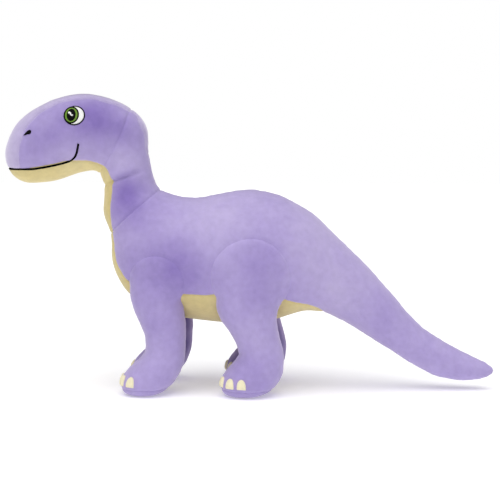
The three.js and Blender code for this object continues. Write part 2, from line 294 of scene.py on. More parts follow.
def fit_sections(tree, centres, first_axes, mirrored):
    """Smooth radii of the cloth round each centre, as harmonics of the angle from the first axis.

    Where the frame is cut back at a hip or a bend, the radius carries on from its neighbours.
    """
    angles = np.radians(np.arange(0, 360, RAY_STEP) + RAY_STEP / 2)
    radii = np.full((len(centres), len(angles)), np.nan)
    for i, centre in enumerate(centres):
        first = Vector(first_axes[i])
        for k, angle in enumerate(angles):
            direction = first * math.cos(angle) + ACROSS * math.sin(angle)
            radii[i, k] = first_exit(tree, centre, direction.normalized(), REACH)
    typical = np.nanmedian(radii, axis=1)[:, None]
    radii[(radii > STRAY_FAR * typical) | (radii < STRAY_NEAR * typical)] = np.nan
    if mirrored:
        both = np.stack([radii, radii[:, ::-1]])
        known_side = ~np.isnan(both)
        total = np.where(known_side, both, 0).sum(axis=0)
        count = known_side.sum(axis=0)
        radii = np.where(count > 0, total / np.maximum(count, 1), np.nan)
    known = ~np.isnan(radii)
    rows = np.arange(len(centres))
    for k in range(len(angles)):
        radii[:, k] = np.interp(rows, rows[known[:, k]], radii[known[:, k], k])
    shapes = waves(angles, mirrored)
    fitted = []
    for i in rows:
        weight = np.where(known[i], 1.0, CARRIED_WEIGHT)
        fitted.append(np.linalg.lstsq(shapes * weight[:, None], radii[i] * weight, rcond=None)[0])
    return np.array(fitted)


def tube(name, centres, first_axes, harmonics, mirrored, sides, inset=0.0):
    """A closed tube of smooth sections, with a pole at each end."""
    angles = np.linspace(0, 2 * math.pi, sides, endpoint=False)
    radii = np.maximum(harmonics @ waves(angles, mirrored).T - inset, 0.001)
    vertices = []
    for centre, first, section in zip(centres, first_axes, radii):
        for angle, radius in zip(angles, section):
            direction = Vector(first) * math.cos(angle) + ACROSS * math.sin(angle)
            vertices.append(Vector(centre) + direction * radius)
    rows = len(centres)
    faces = ring_faces(rows, sides)
    for row, order in ((0, -1), (rows - 1, 1)):
        ring = range(row * sides, (row + 1) * sides)
        vertices.append(sum((vertices[i] for i in ring), Vector()) / sides)
        for side in range(sides):
            pair = (ring[side], ring[(side + 1) % sides])[::order]
            faces.append((*pair, len(vertices) - 1))
    made = object_from(name, vertices, faces)
    tidy_normals(made)
    return made


def tidy_normals(obj):
    """Merges points in one place, and turns every face outwards."""
    bm = bmesh.new()
    bm.from_mesh(obj.data)
    bmesh.ops.remove_doubles(bm, verts=bm.verts, dist=1e-6)
    bmesh.ops.recalc_face_normals(bm, faces=bm.faces)
    bm.to_mesh(obj.data)
    bm.free()


def trunk_sections():
    """Centres, upward axes and harmonics of the sections from the nose to the tail tip."""
    tree = surface_of([n for body in TRUNK for n in cloth_nodes(body)])
    spine = trunk_spine(tree)
    normals = section_normals(spine, passes=90)
    harmonics = fit_sections(tree, spine, normals, mirrored=True)
    return spine, normals, soften(harmonics, 4)


# ---- legs

def leg_sections(leg):
    """Level sections up a leg, closer together towards both ends, where it rounds over."""
    tree = surface_of(cloth_nodes(leg))
    sole_low, sole_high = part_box(leg + "_sole")
    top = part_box(leg + "_outer_panel")[1].z
    hip = Vector(JOINTS[leg + "_swing"]["pos_m"])
    foot = (sole_low + sole_high) / 2
    turns = np.linspace(-math.pi / 2, math.pi / 2, LEG_LEVELS + 2)[1:-1]
    heights = (sole_low.z + top) / 2 + (top - sole_low.z) / 2 * np.sin(turns)
    centres = []
    for z in heights:
        lift = min(max(z / hip.z, 0), 1)
        centre = foot.lerp(hip, lift)
        centre.z = z
        centres.append(centre)
    axes = [(-1, 0, 0)] * len(centres)
    harmonics = fit_sections(tree, centres, axes, mirrored=False)
    return centres, axes, soften(harmonics, 2)


# ---- stuffing by simulation

VOXEL = 0.003  # size of the even faces of a skin
START_INSET = 0.0012  # the skin starts this much small, and the pressure swells it back
FIT_REACH = 0.007  # the furthest that the smoothed skin is moved back onto the frame
FIT_PASSES = 160  # enough to even out the frame's facets
FRAMES = 20
SWELL_CAP = 0.0035  # the furthest that the pressure may move a point
SEAM_HOLD = 0.0035  # points nearer to a seam than this are held by its stitches
CLOTH = {
    "quality": 4, "mass": 0.3, "tension_stiffness": 12, "compression_stiffness": 12,
    "bending_stiffness": 0.6, "use_pressure": True, "uniform_pressure_force": 4,
}


def even_skin(obj, passes):
    """Turns a closed tube into even quads, softened."""
    remesh = obj.modifiers.new("even", "REMESH")
    remesh.mode = "VOXEL"
    remesh.voxel_size = VOXEL
    remesh.use_smooth_shade = True
    smooth = obj.modifiers.new("soften", "SMOOTH")
    smooth.factor = 0.5
    smooth.iterations = passes
    bake(obj)


def fit_to_frame(obj, tree, passes):
    """Moves a smoothed skin back onto the frame's cloth, without taking over its facets."""
    points, normals = points_of(obj), normals_of(obj)
    offset, known = np.zeros(len(points)), np.zeros(len(points))
    for i, (point, normal) in enumerate(zip(points, normals)):
        start = Vector(point) - Vector(normal) * FIT_REACH
        distance = first_exit(tree, start, Vector(normal), 2 * FIT_REACH)
        if not math.isnan(distance):
            offset[i], known[i] = distance - FIT_REACH, 1
    known_near = spread(obj, known, passes)
    offset = spread(obj, offset, passes) / np.maximum(known_near, 0.05)
    offset *= np.minimum(1, known_near * 2)
    move_points(obj, points + normals * offset[:, None])


# Where the fibre is packed fuller or flatter than the frame's sections: x, z, reach and height.
# Those of a foot are measured from the middle of its sole.
TRUNK_FULLNESS = [
    (-0.126, 0.318, 0.022, 0.0038), (-0.285, 0.325, 0.035, -0.0024), (-0.185, 0.265, 0.016, 0.0003),
    (-0.175, 0.215, 0.020, 0.0024), (-0.160, 0.145, 0.040, 0.0028), (0.074, 0.222, 0.035, 0.0032),
    (0.000, 0.246, 0.040, 0.0012), (-0.035, 0.085, 0.050, 0.0032), (-0.287, 0.262, 0.022, 0.0024),
    (-0.245, 0.247, 0.035, 0.0012), (-0.142, 0.338, 0.020, 0.0012), (-0.190, 0.362, 0.050, 0.0014),
    (0.140, 0.155, 0.050, 0.0012), (-0.070, 0.243, 0.045, 0.0010), (0.030, 0.243, 0.050, 0.0008),
]
FOOT_FULLNESS = {
    "front": [
        (-0.026, 0.034, 0.020, 0.0035), (-0.030, 0.009, 0.014, 0.0050), (-0.030, 0.095, 0.030, 0.0015)],
    "hind": [
        (-0.024, 0.026, 0.018, 0.0020), (-0.028, 0.009, 0.014, 0.0045), (0.026, 0.030, 0.022, 0.0010)],
}


def soft_spots(points, spots):
    """The sum, seen from the side, of round soft-edged spots: x, z, reach and amount of each."""
    total = np.zeros(len(points))
    for x, z, reach, amount in spots:
        away = np.hypot(points[:, 0] - x, points[:, 2] - z)
        total += amount * np.exp(-(away / reach) ** 2)
    return total


def press(obj, relief):
    """Moves each point of a skin along its normal."""
    move_points(obj, points_of(obj) + normals_of(obj) * relief[:, None])


def stuff(obj, seam_distance):
    """Swells a skin like fibre pushed into it, held back where its seams run."""
    held = obj.vertex_groups.new(name="held by the seam")
    for i in np.nonzero(seam_distance < SEAM_HOLD)[0]:
        held.add([int(i)], 1.0 - 0.3 * seam_distance[i] / SEAM_HOLD, "REPLACE")
    cloth = obj.modifiers.new("stuffing", "CLOTH")
    for setting, value in CLOTH.items():
        setattr(cloth.settings, setting, value)
    cloth.settings.effector_weights.gravity = 0
    cloth.settings.vertex_group_mass = held.name
    scene = bpy.context.scene
    for number in range(1, FRAMES + 1):
        scene.frame_set(number)
    before = points_of(obj)
    bake(obj)
    moved = points_of(obj) - before
    length = np.linalg.norm(moved, axis=1)[:, None]
    moved *= np.minimum(1, SWELL_CAP / np.maximum(length, 1e-9))
    for axis in range(3):
        moved[:, axis] = spread(obj, moved[:, axis], 3)
    move_points(obj, before + moved)
    obj.vertex_groups.clear()
    scene.frame_set(1)


# ---- cutting into panels

SNAP = 0.25  # a vertex this near to a cut, as a share of its edge, moves onto it


def cut_lines(obj, fields):
    """Cuts the faces of obj along the zero line of each field of vertex values.

    Returns the fields at the vertices of the new mesh.
    """
    bm = bmesh.new()
    bm.from_mesh(obj.data)
    layers = [bm.verts.layers.float.new(f"field {i}") for i in range(len(fields))]
    bm.verts.ensure_lookup_table()
    for layer, values in zip(layers, fields):
        for vert, value in zip(bm.verts, values):
            vert[layer] = value
    for done, layer in enumerate(layers):
        for edge in bm.edges:
            a, b = edge.verts
            if a[layer] * b[layer] >= 0:
                continue
            share = a[layer] / (a[layer] - b[layer])
            if share > 0.5:
                a, b, share = b, a, 1 - share
            on_older_cut = any(a[other] == 0 for other in layers[:done])
            if share < SNAP and not on_older_cut:
                slide_onto(a, b, share, layer, layers)
        crossing = [e for e in bm.edges if e.verts[0][layer] * e.verts[1][layer] < 0]
        for edge in crossing:
            a, b = edge.verts
            share = a[layer] / (a[layer] - b[layer])
            values = [a[other] + (b[other] - a[other]) * share for other in layers]
            kept = [a[other] == 0 and b[other] == 0 for other in layers]
            _, made = bmesh.utils.edge_split(edge, a, share)
            for other, value, still in zip(layers, values, kept):
                made[other] = 0.0 if still else value
            made[layer] = 0.0
        on_line = [v for v in bm.verts if v[layer] == 0]
        bmesh.ops.connect_verts(bm, verts=on_line)
    bm.verts.ensure_lookup_table()
    cut = [np.array([v[layer] for v in bm.verts]) for layer in layers]
    bm.to_mesh(obj.data)
    bm.free()
    return cut


def slide_onto(vert, towards, share, layer, layers):
    """Moves a vertex along an edge onto the zero line of a layer."""
    vert.co = vert.co.lerp(towards.co, share)
    for other in layers:
        vert[other] += (towards[other] - vert[other]) * share
    vert[layer] = 0.0


def face_values(obj, values):
    """The mean of a vertex value over each face."""
    sizes = np.empty(len(obj.data.polygons), int)
    obj.data.polygons.foreach_get("loop_total", sizes)
    corners = np.empty(len(obj.data.loops), int)
    obj.data.loops.foreach_get("vertex_index", corners)
    starts = np.concatenate([[0], np.cumsum(sizes)[:-1]])
    return np.add.reduceat(values[corners], starts) / sizes


def set_regions(obj, regions):
    for _ in range(int(regions.max()) + 1):
        obj.data.materials.append(None)
    obj.data.polygons.foreach_set("material_index", regions.astype(np.int32))


def finer(obj):
    """One subdivision of the whole skin, so that its panels still meet point to point."""
    subdivision = obj.modifiers.new("finer", "SUBSURF")
    subdivision.levels = 1
    bake(obj)


def seam_points(obj, is_seam):
    """Points at every half millimetre or so along the edges where two sewn regions meet."""
    mesh = obj.data
    region_of_edge = {}
    found = []
    for polygon in mesh.polygons:
        for key in polygon.edge_keys:
            other = region_of_edge.setdefault(key, polygon.material_index)
            if other != polygon.material_index and is_seam(other, polygon.material_index):
                found.append(key)
    points = []
    for key in found:
        a, b = (mesh.vertices[i].co for i in key)
        points.extend(a.lerp(b, share) for share in (0.0, 0.33, 0.67))
    return points


# ---- relief of the cloth

GROOVE_DEPTH = 0.0012  # of a seam between panels
GROOVE_WIDTH = 0.0014
BULGE_HEIGHT = 0.0003  # of the cloth just beside a seam
BULGE_AT = 0.006
PUCKER_SIZE = 0.0065  # along the seam
PUCKER_HEIGHT = 0.0005
PUCKER_REACH = 0.011  # away from the seam
VALLEY_DEPTH = 0.0007  # where a leg meets the body
VALLEY_WIDTH = 0.0026


def seam_relief(points, seams):
    """The groove of a seam, the soft swelling beside it, and the puckers that its thread pulls."""
    tree = KDTree(len(seams))
    for i, point in enumerate(seams):
        tree.insert(point, i)
    tree.balance()
    relief = np.zeros(len(points))
    for i, point in enumerate(points):
        nearest, _, distance = tree.find(point)
        if distance > 4 * PUCKER_REACH:
            continue
        relief[i] -= GROOVE_DEPTH * math.exp(-(distance / GROOVE_WIDTH) ** 2)
        relief[i] += BULGE_HEIGHT * math.exp(-((distance - BULGE_AT) / BULGE_AT) ** 2)
        pull = math.exp(-(distance / PUCKER_REACH) ** 2)
        relief[i] += PUCKER_HEIGHT * pull * noise.noise(nearest / PUCKER_SIZE)
    return relief


def valley(points, trees):
    """Both skins turn in where they meet at a sewn-on leg."""
    relief = np.zeros(len(points))
    for tree in trees:
        distance = np.array([tree.find_nearest(Vector(p))[3] for p in points])
        relief -= VALLEY_DEPTH * np.exp(-(distance / VALLEY_WIDTH) ** 2)
    return relief


def crease(points, path, depth, width):
    """A soft fold pressed in along a path of (x, z) points, with the cloth raised beside it."""
    path = np.array(path)
    flat = points[:, [0, 2]]
    lengths = np.linalg.norm(np.diff(path, axis=0), axis=1)
    best = np.full(len(points), np.inf)
    offset, along = np.zeros(len(points)), np.zeros(len(points))
    for k, (start, end) in enumerate(zip(path, path[1:])):
        step = end - start
        t = np.clip(((flat - start) @ step) / (step @ step), 0, 1)
        away = flat - (start + t[:, None] * step)
        distance = np.linalg.norm(away, axis=1)
        nearer = distance < best
        best = np.where(nearer, distance, best)
        sign = np.sign(step[0] * away[:, 1] - step[1] * away[:, 0])
        offset = np.where(nearer, distance * sign, offset)
        along = np.where(nearer, (lengths[:k].sum() + t * lengths[k]) / lengths.sum(), along)
    fade = np.sin(np.pi * np.clip(along, 0, 1))
    fold = np.exp(-(offset / width) ** 2)
    raised = 0.4 * np.exp(-((offset - 3 * width) / (2.4 * width)) ** 2)
    return depth * fade * (raised - fold)


# Soft spots of painted shade (-) and painted light (+), set where shade and light fall on the cloth,
# mixed with some of the nap's own lie: x, z, reach, and how much darker or paler.
NAP_AND_PAINTED_SHADE_SPOTS = [
    (-0.080, 0.170, 0.035, -0.55), (-0.260, 0.300, 0.030, -0.25), (0.015, 0.120, 0.030, -0.2),
    (-0.185, 0.335, 0.026, -0.9), (-0.150, 0.315, 0.022, -0.5), (-0.225, 0.315, 0.030, -0.4),
    (-0.215, 0.285, 0.022, 0.3), (-0.145, 0.228, 0.026, -0.7), (-0.150, 0.285, 0.020, 0.3),
    (-0.135, 0.150, 0.040, -0.35), (-0.075, 0.135, 0.035, -0.45), (-0.040, 0.205, 0.045, 0.45),
    (0.020, 0.165, 0.035, -0.6), (0.060, 0.175, 0.045, 0.4), (0.110, 0.130, 0.040, 0.25),
    (0.170, 0.100, 0.030, -0.2), (-0.110, 0.080, 0.025, -0.15), (0.000, 0.080, 0.030, 0.15),
    (-0.148, 0.248, 0.016, -0.6), (0.005, 0.030, 0.030, -0.4),
]


def nap_tone_and_painted_shade(points):
    """The value at each point: random blotches of tone in the nap, plus the spots of painted shade and
    painted light; below 0 it looks darker, above 0 paler.
    """
    blotches = 0.16 * rough(points, 0.06, 4) + 0.07 * rough(points, 0.02, 5)
    return blotches + soft_spots(points, NAP_AND_PAINTED_SHADE_SPOTS)


def unevenness(points):
    """Soft cloth over fibre is never quite even."""
    return 0.0006 * rough(points, 0.045, 1) + 0.00022 * rough(points, 0.014, 2)


# ---- panels

def panel_objects(obj, names, normals, painted_shade_by_panel):
    """One object for each region of a skin; normals come from the whole, so no join shows.

    The last argument holds, for the panels that need it, extra painted shade at each vertex of the
    skin.
    """
    mesh = obj.data
    points = points_of(obj)
    made = {}
    for region, name in enumerate(names):
        faces = [list(p.vertices) for p in mesh.polygons if p.material_index == region]
        used = sorted({i for face in faces for i in face})
        index = {old: new for new, old in enumerate(used)}
        piece = object_from(name, points[used], [[index[i] for i in face] for face in faces])
        piece.data.normals_split_custom_set_from_vertices(normals[used])
        # Every panel carries the nap's random tone together with the painted shade and light, which its
        # velour reads as colour.
        nap_and_painted_shade = piece.data.attributes.new("nap_and_painted_shade", "FLOAT", "POINT")
        nap_and_shade = nap_tone_and_painted_shade(points[used])
        if name in painted_shade_by_panel:
            nap_and_shade += painted_shade_by_panel[name][used]
        nap_and_painted_shade.data.foreach_set("value", nap_and_shade)
        made[name] = piece
    bpy.data.objects.remove(obj)
    return made


# ---- head, neck, body and tail

CREAM_NODES = ("chin_panel", "throat_panel", "belly_panel")
GUSSET_NODES = ("crown_gusset", "nape_gusset")
SIDE_NODES = ("head_left_panel", "head_right_panel", "neck_left_panel", "neck_right_panel")

HEAD_HINGE = Vector(JOINTS["head_nod"]["pos_m"])
NECK_HINGE = Vector(JOINTS["neck_bend"]["pos_m"])
TAIL_HINGE = Vector(JOINTS["tail_swing"]["pos_m"])
TIP_HINGE = Vector(JOINTS["tail_tip_bend"]["pos_m"])


def leaning(degrees):
    """A direction in the toy's middle plane, tilted up this far from straight back."""
    return Vector((math.cos(math.radians(degrees)), 0, math.sin(math.radians(degrees))))


HEAD_SEAM_RISE = leaning(64)  # along the seam between head and neck, upwards
HEAD_SEAM_FACING = leaning(64 - 90)  # across it, towards the neck
HEAD_SEAM_BEHIND = 0.0048  # from the hinge to the ends of the seam
HEAD_SEAM_BULGE = 0.0045  # how far its middle bows back
HEAD_SEAM_HALF = 0.036  # half its length
NECK_SEAM_FACING = leaning(41 - 90)  # across the seam between neck and body
TAIL_DIRECTION = leaning(-40)
TAIL_SPLIT = (TAIL_HINGE + TIP_HINGE) / 2

# Panels of the trunk, and the frame nodes that each one stands for.
TRUNK_PANELS = {
    "head_side_left": ("head_left_panel",),
    "head_side_right": ("head_right_panel",),
    "crown_band": ("crown_gusset",),
    "jaw_patch": ("chin_panel",),
    "neck_side_left": ("neck_left_panel",),
    "neck_side_right": ("neck_right_panel",),
    "nape_band": ("nape_gusset",),
    "throat_patch": ("throat_panel",),
    "body_side_left": ("body_left_panel",),
    "body_side_right": ("body_right_panel",),
    "belly_patch": ("belly_panel",),
    "tail_side_left": ("tail_base_left_panel", "tail_tip_left_panel"),
    "tail_side_right": ("tail_base_right_panel", "tail_tip_right_panel"),
}
PANEL_ORDER = list(TRUNK_PANELS)
CREAM_PANELS = ("jaw_patch", "throat_patch", "belly_patch")


def seam_field(points, near_names, far_names):
    """Distance along the cloth to the seam between two sets of panels, positive on the near side."""
    near, far = surface_of(near_names), surface_of(far_names)
    field = []
    for point in points:
        to_near = near.find_nearest(Vector(point))[3]
        to_far = far.find_nearest(Vector(point))[3]
        along = math.sqrt(abs(to_far ** 2 - to_near ** 2))
        field.append(math.copysign(along, to_far - to_near))
    return np.array(field)


def head_seam_field(points):
    """Positive behind the bowed seam between the head and the neck."""
    middle_of_seam = HEAD_HINGE + HEAD_SEAM_FACING * HEAD_SEAM_BEHIND
    away = points - np.array(middle_of_seam)
    along = away @ np.array(HEAD_SEAM_RISE) / HEAD_SEAM_HALF
    return away @ np.array(HEAD_SEAM_FACING) - HEAD_SEAM_BULGE * (1 - along ** 2)


def trunk_fields(skin):
    """Values at the trunk's vertices that are zero along its seams, in the order of the cuts."""
    points = points_of(skin)
    cloth = [n for body in TRUNK for n in cloth_nodes(body)]
    purple = [n for n in cloth if n not in CREAM_NODES]
    cream = spread(skin, seam_field(points, purple, CREAM_NODES), 8)
    gusset = spread(skin, seam_field(points, SIDE_NODES, GUSSET_NODES), 8)
    head = head_seam_field(points)
    neck = (points - np.array(NECK_HINGE)) @ np.array(NECK_SEAM_FACING)
    tail = (points - np.array(TAIL_SPLIT)) @ np.array(TAIL_DIRECTION)
    return [cream, gusset, head, neck, tail, -points[:, 1]]


def trunk_regions(skin, fields):
    """The number of each face's panel in PANEL_ORDER."""
    cream, gusset, head, neck, tail, left = (face_values(skin, field) for field in fields)
    part = np.where(head < 0, 0, np.where(neck < 0, 4, 8))
    side = np.where(left > 0, 0, 1)
    region = part + side
    has_gusset = neck < 0
    region = np.where(has_gusset & (gusset < 0), part + 2, region)
    region = np.where(cream < 0, np.where(has_gusset, part + 3, part + 2), region)
    return np.where(tail > 0, 11 + side, region)


def trunk_seam_distance(fields):
    cream, gusset, head, neck, _, left = (np.abs(field) for field in fields)
    on_body = fields[3] > 0
    back = np.where(on_body, left, np.inf)
    return np.min([cream, np.where(on_body, np.inf, gusset), head, neck, back], axis=0)


def is_trunk_seam(one, other):
    """The tail's side panels run on from the body's; every other join is a seam."""
    pair = {PANEL_ORDER[one], PANEL_ORDER[other]}
    return not any(p.startswith("tail") for p in pair) or all(p.startswith("tail") for p in pair)


def trunk_skin(sections):
    spine, normals, harmonics = sections
    skin = tube("trunk", spine, normals, harmonics, True, TRUNK_SIDES, inset=START_INSET)
    even_skin(skin, passes=6)
    fit_to_frame(skin, surface_of([n for body in TRUNK for n in cloth_nodes(body)]), FIT_PASSES)
    press(skin, soft_spots(points_of(skin), TRUNK_FULLNESS))
    fields = trunk_fields(skin)
    stuff(skin, trunk_seam_distance(fields))
    fields = cut_lines(skin, fields)
    set_regions(skin, trunk_regions(skin, fields))
    finer(skin)
    return skin


# ---- legs as skins

HIP_RADIUS = {"front": 0.036, "hind": 0.049}  # of the round seam at the top of each leg
HIP_BULGE = {"front": 0.0045, "hind": 0.0065}  # how far its middle stands off the body
HIP_DEPTH = 0.012  # how far it reaches into the body
HIP_SINK = 0.0005  # of its rim into the body
HIP_FALL = 0.002  # from ring to ring, past the body's edge
HIP_RINGS = 16
HIP_SIDES = 64
LEG_OUTSET = 0.001  # a leg's skin starts this much large


def hip_pillow(leg, tree):
    """A round pillow on the body's side, which makes the round seam at the top of a leg."""
    end = leg.split("_")[0]
    hip = Vector(JOINTS[leg + "_swing"]["pos_m"])
    out = ACROSS * math.copysign(1, hip.y)
    hip.y = 0
    outer, inner = [], []
    reach = [0.0] * HIP_SIDES
    for ring in range(HIP_RINGS + 1):
        share = ring / HIP_RINGS
        for side in range(HIP_SIDES):
            turn = 2 * math.pi * side / HIP_SIDES
            point = hip + HIP_RADIUS[end] * share * Vector((math.cos(turn), 0, math.sin(turn)))
            found = tree.ray_cast(point + out * 0.2, -out)[0]
            # Past the edge of the body the pillow curves in towards the leg.
            reach[side] = found.dot(out) if found else reach[side] - HIP_FALL
            hit = point + out * reach[side]
            lift = HIP_BULGE[end] * (1 - share ** 2.5) ** 0.5 - HIP_SINK
            outer.append(hit + out * lift)
            inner.append(hit - out * HIP_DEPTH)
    faces = ring_faces(HIP_RINGS + 1, HIP_SIDES)
    count = len(outer)
    faces += [tuple(count + i for i in reversed(face)) for face in faces]
    rim = HIP_RINGS * HIP_SIDES
    for side in range(HIP_SIDES):
        a, b = rim + side, rim + (side + 1) % HIP_SIDES
        faces.append((a, b, b + count, a + count))
    pillow = object_from(leg + "_pillow", outer + inner, faces)
    tidy_normals(pillow)
    return pillow


def join(obj, other):
    """Adds another object's mesh to obj's."""
    bm = bmesh.new()
    bm.from_mesh(obj.data)
    bm.from_mesh(other.data)
    bm.to_mesh(obj.data)
    bm.free()
    bpy.data.objects.remove(other)


def leg_skin(leg, sections, body_tree):
    centres, axes, harmonics = sections
    skin = tube(leg + "_skin", centres, axes, harmonics, False, LEG_SIDES, inset=-LEG_OUTSET)
    even_skin(skin, passes=4)
    fit_to_frame(skin, surface_of(cloth_nodes(leg)), FIT_PASSES)
    end = leg.split("_")[0]
    foot = centres[0]
    press(skin, soft_spots(points_of(skin) - (foot.x, 0, 0), FOOT_FULLNESS[end]))
    join(skin, hip_pillow(leg, body_tree))
    even_skin(skin, passes=4)
    points = points_of(skin)
    sole = points[:, 2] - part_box(leg + "_sole")[1].z
    heights = [c.z for c in centres]
    middle_y = np.interp(points[:, 2], heights, [c.y for c in centres])
    outward = math.copysign(1, centres[0].y)
    side = (points[:, 1] - middle_y) * outward
    stuff(skin, np.minimum(np.abs(sole), np.abs(side)))
    sole, side = cut_lines(skin, [sole, side])
    sole, side = face_values(skin, sole), face_values(skin, side)
    set_regions(skin, np.where(sole < 0, 2, np.where(side > 0, 0, 1)))
    finer(skin)
    return skin


INNER_PALE = 0.86  # the value at which the painted-shade velour is as pale as the purple
INNER_SHADE_DROP = 1.2  # how far it falls where the cloth faces straight inwards: the painted shade at its darkest
INNER_TURN = (0.30, 0.95)  # how squarely the cloth faces inwards where the painted shade starts and where it is full
ANKLE = 0.06  # height below which the painted shade on the inner side fades again


def inner_painted_shade(leg, skin):
    """Painted shade on an inner cover: none at its seams, less towards the foot, darker where the cloth
    faces inwards towards the other legs.
    """
    outward = math.copysign(1, middle(leg + "_sole").y)
    inward = -outward * normals_of(skin)[:, 1]
    shade_share = np.clip((inward - INNER_TURN[0]) / (INNER_TURN[1] - INNER_TURN[0]), 0, 1)
    shade_share *= np.clip(points_of(skin)[:, 2] / ANKLE, 0.3, 1)
    return INNER_PALE - INNER_SHADE_DROP * shade_share


# ---- materials

def linear(red, green, blue):
    """A colour in steps of 0 to 255, as the linear values that shaders use."""
    steps = [value / 255 for value in (red, green, blue)]
    return [v / 12.92 if v < 0.04045 else ((v + 0.055) / 1.055) ** 2.4 for v in steps]


def set_inputs(node, inputs):
    for socket, value in inputs.items():
        node.inputs[socket].default_value = value


def new_material(name, inputs):
    """A material, its nodes and links, with these values on its shader's sockets."""
    material = bpy.data.materials.new(name)
    material.use_nodes = True
    nodes = material.node_tree.nodes
    set_inputs(nodes["Principled BSDF"], inputs)
    return material, nodes, material.node_tree.links


def add_node(nodes, kind, inputs, **settings):
    node = nodes.new(kind)
    for name, value in settings.items():
        setattr(node, name, value)
    set_inputs(node, inputs)
    return node


def texture_node(nodes, links, kind, inputs, **settings):
    """A texture laid out in the toy's own space, so that it needs no UVs."""
    where = nodes.new("ShaderNodeTexCoord")
    texture = add_node(nodes, kind, inputs, **settings)
    links.new(where.outputs["Object"], texture.inputs["Vector"])
    return texture


def noise_node(nodes, links, scale, detail):
    return texture_node(nodes, links, "ShaderNodeTexNoise", {"Scale": scale, "Detail": detail})


def colour_ramp(nodes, stops):
    ramp = nodes.new("ShaderNodeValToRGB").color_ramp
    ramp.elements[0].position, ramp.elements[1].position = stops[0][0], stops[-1][0]
    for position, _ in stops[1:-1]:
        ramp.elements.new(position)
    for element, (_, colour) in zip(ramp.elements, stops):
        element.color = (*colour, 1)
    return nodes[-1]


def velour(name, deep, base, pale, sheen_tint, sheen):
    """Short brushed pile: coloured by a value at each point that holds the nap's random tone and
    painted shade and light, with a fibre grain and pale fibre tips.
    """
    material, nodes, links = new_material(name, {
        "Roughness": 0.9,
        "Specular IOR Level": 0.2,
        "Sheen Weight": sheen,
        "Sheen Roughness": 0.45,
        "Sheen Tint": (*sheen_tint, 1),
    })
    shader = nodes["Principled BSDF"]
    nap_and_shade = add_node(nodes, "ShaderNodeAttribute", {}, attribute_name="nap_and_painted_shade")
    blotches = noise_node(nodes, links, 60, 3)
    evened = add_node(nodes, "ShaderNodeMapRange", {"To Min": 0.42, "To Max": 0.58})
    links.new(blotches.outputs["Fac"], evened.inputs["Value"])
    total = add_node(nodes, "ShaderNodeMath", {1: 0.35}, operation="MULTIPLY_ADD")
    links.new(nap_and_shade.outputs["Fac"], total.inputs[0])
    links.new(evened.outputs["Result"], total.inputs[2])
    ramp = colour_ramp(nodes, [(0.15, deep), (0.5, base), (0.8, pale)])
    links.new(total.outputs[0], ramp.inputs["Fac"])
    grain = noise_node(nodes, links, 130, 3)
    shade = colour_ramp(nodes, [(0.3, (0.90, 0.90, 0.91)), (0.7, (1.0, 1.0, 1.0))])
    links.new(grain.outputs["Fac"], shade.inputs["Fac"])
    mix = add_node(nodes, "ShaderNodeMix", {}, data_type="RGBA", blend_type="MULTIPLY")
    mix.inputs["Factor"].default_value = 1.0
    links.new(ramp.outputs["Color"], mix.inputs[6])
    links.new(shade.outputs["Color"], mix.inputs[7])
    links.new(mix.outputs[2], shader.inputs["Base Color"])
    clumps = noise_node(nodes, links, 420, 2)
    fibres = noise_node(nodes, links, 1700, 2)
    normal = None
    for texture, height in ((clumps, 0.00025), (fibres, 0.00015)):
        bump = add_node(nodes, "ShaderNodeBump", {"Strength": 0.8, "Distance": height})
        links.new(texture.outputs["Fac"], bump.inputs["Height"])
        if normal:
            links.new(normal, bump.inputs["Normal"])
        normal = bump.outputs["Normal"]
    links.new(normal, shader.inputs["Normal"])
    return material


def thread(name, colour, direction="DIAGONAL", gloss=0.4):
    """Satin stitch: rows of glossy thread lying side by side."""
    material, nodes, links = new_material(name, {
        "Base Color": (*colour, 1), "Roughness": 0.45, "Specular IOR Level": gloss})
    look = {"Scale": 700, "Distortion": 0.6, "Detail Scale": 3}
    rows = texture_node(nodes, links, "ShaderNodeTexWave", look, bands_direction=direction)
    bump = add_node(nodes, "ShaderNodeBump", {"Strength": 0.6, "Distance": 0.00018})
    links.new(rows.outputs["Fac"], bump.inputs["Height"])
    links.new(bump.outputs["Normal"], nodes["Principled BSDF"].inputs["Normal"])
    return material


PURPLE = velour(
    "purple_velour", linear(138, 118, 188), linear(178, 163, 214), linear(200, 188, 224),
    linear(242, 236, 246), 0.75)
# Darker copy of the purple for the legs' inner covers: painted shade where the legs face each other
# under the body.
SHADED_PURPLE = velour(
    "purple_velour_painted_shade", linear(56, 44, 102), linear(88, 73, 142), linear(178, 163, 214),
    linear(242, 236, 246), 0.3)
# Paler copy of the purple for the crown and nape bands: their nap lies the other way, and the paler
# colour also paints the light that falls on top of the head and neck.
PALE_PURPLE = velour(
    "purple_velour_pale", linear(172, 157, 204), linear(194, 182, 219), linear(206, 196, 226),
    linear(246, 243, 248), 0.9)
CREAM = velour(
    "cream_velour", linear(202, 182, 122), linear(221, 205, 148), linear(234, 221, 172),
    linear(255, 250, 230), 0.4)
TOE_CREAM = velour(
    "toe_velour", linear(238, 226, 184), linear(246, 238, 202), linear(250, 246, 220),
    linear(255, 253, 240), 0.3)
FIBRE = velour(
    "fibre_fill", linear(232, 230, 224), linear(243, 242, 238), linear(250, 250, 248),
    linear(255, 255, 255), 0.5)
BLACK_THREAD = thread("black_thread", linear(3, 2, 5), gloss=0.05)
WHITE_THREAD = thread("white_thread", linear(250, 250, 248), "X")
GREEN_THREAD = thread("green_thread", linear(106, 148, 34), "Z")


# ---- embroidery and toes

PATCH_RINGS = 7


